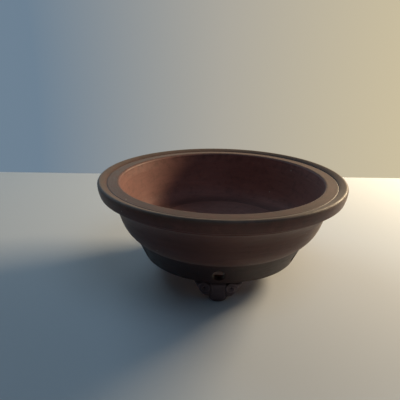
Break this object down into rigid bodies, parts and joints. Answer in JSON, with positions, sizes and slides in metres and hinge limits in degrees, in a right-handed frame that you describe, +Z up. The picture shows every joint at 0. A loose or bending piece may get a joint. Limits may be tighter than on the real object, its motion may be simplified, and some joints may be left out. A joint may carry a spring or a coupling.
{
  "type": "bonsai pot",
  "caption": "Round unglazed stoneware pot for a bonsai: wide rim with a raised roll, coved bowl with a drain hole, a foot ring with tie holes, and cloud feet to stand on.",
  "frame": {"origin": "on the table plane, on the bowl's axis below the drain hole, with the three toes at height zero", "axes": "+Z up along the bowl's axis, -Y towards the front foot, +X to the right seen from the front"},
  "size_m": [0.2, 0.2, 0.082],
  "materials": {
    "bowl_clay": "unglazed dark red-brown stoneware, burnished, satin",
    "floor_clay": "unglazed dark brown stoneware, matt",
    "rim_clay": "unglazed grey-brown stoneware, burnished, satin",
    "ring_clay": "unglazed near-black brown stoneware, satin",
    "foot_clay": "unglazed near-black brown stoneware, matt"
  },
  "bodies": {
    "root": {"bowl_wall": "bowl_clay", "bowl_floor": "floor_clay", "rim_ledge": "rim_clay", "rim_roll": "rim_clay", "rim_thread": "bowl_clay", "foot_ring": "ring_clay", "foot_front": "foot_clay", "foot_rear_left": "foot_clay", "foot_rear_right": "foot_clay"}
  },
  "joints": []
}
